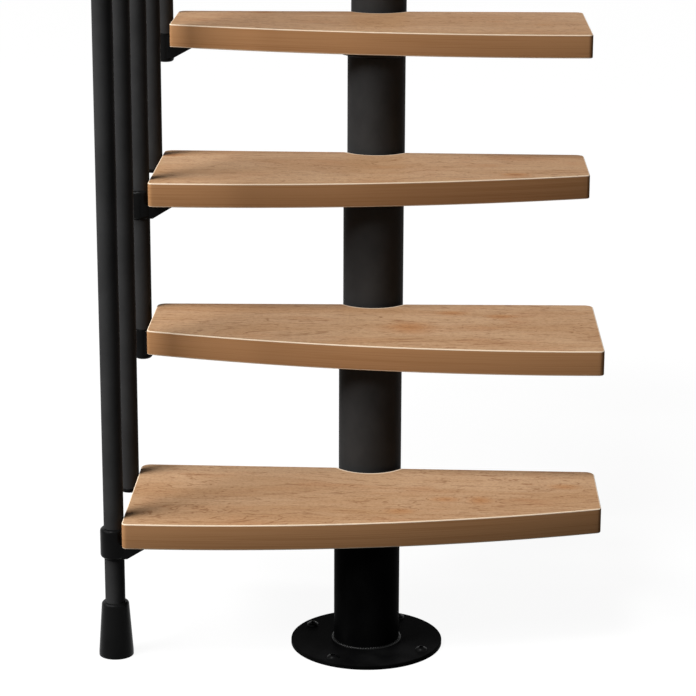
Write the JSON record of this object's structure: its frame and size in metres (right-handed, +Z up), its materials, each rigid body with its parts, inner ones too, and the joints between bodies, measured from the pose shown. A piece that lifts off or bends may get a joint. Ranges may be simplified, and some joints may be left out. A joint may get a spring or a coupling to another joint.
{
  "type": "space-saver staircase",
  "caption": "Straight space-saver staircase: wooden treads deep on alternate sides, on a spine of short black tubes, with balusters and a handrail on one side.",
  "frame": {"origin": "on the floor, at the axis of the first spine tube, on the underside of its flange", "axes": "+Z up, +Y up the flight, +X to the right of a person going up"},
  "size_m": [0.684, 1.39, 2.2863],
  "materials": {
    "black_steel": "satin black powder coat",
    "black_plastic": "satin black moulded plastic",
    "beech": "clear satin lacquer"
  },
  "bodies": {
    "root": {"base_flange": "black_steel", "landing_plate": "black_steel", "rail_saddles": "black_steel", "handrail": "black_steel", "spine_tube_1": "black_steel", "spine_tube_2": "black_steel", "spine_tube_3": "black_steel", "spine_tube_4": "black_steel", "spine_tube_5": "black_steel", "spine_tube_6": "black_steel", "tread_carrier_1": "black_steel", "tread_carrier_2": "black_steel", "tread_carrier_3": "black_steel", "tread_carrier_4": "black_steel", "tread_carrier_5": "black_steel", "tread_carrier_6": "black_steel", "baluster_1": "black_steel", "baluster_2": "black_steel", "baluster_3": "black_steel", "baluster_4": "black_steel", "baluster_5": "black_steel", "baluster_6": "black_steel", "baluster_7": "black_steel", "baluster_foot": "black_plastic", "baluster_end_caps": "black_plastic", "handrail_caps": "black_plastic", "front_clamp_1": "black_plastic", "front_clamp_3": "black_plastic", "front_clamp_5": "black_plastic", "end_socket_2": "black_plastic", "end_socket_4": "black_plastic", "end_socket_6": "black_plastic", "tread_1": "beech", "tread_2": "beech", "tread_3": "beech", "tread_4": "beech", "tread_5": "beech", "tread_6": "beech"}
  },
  "joints": []
}
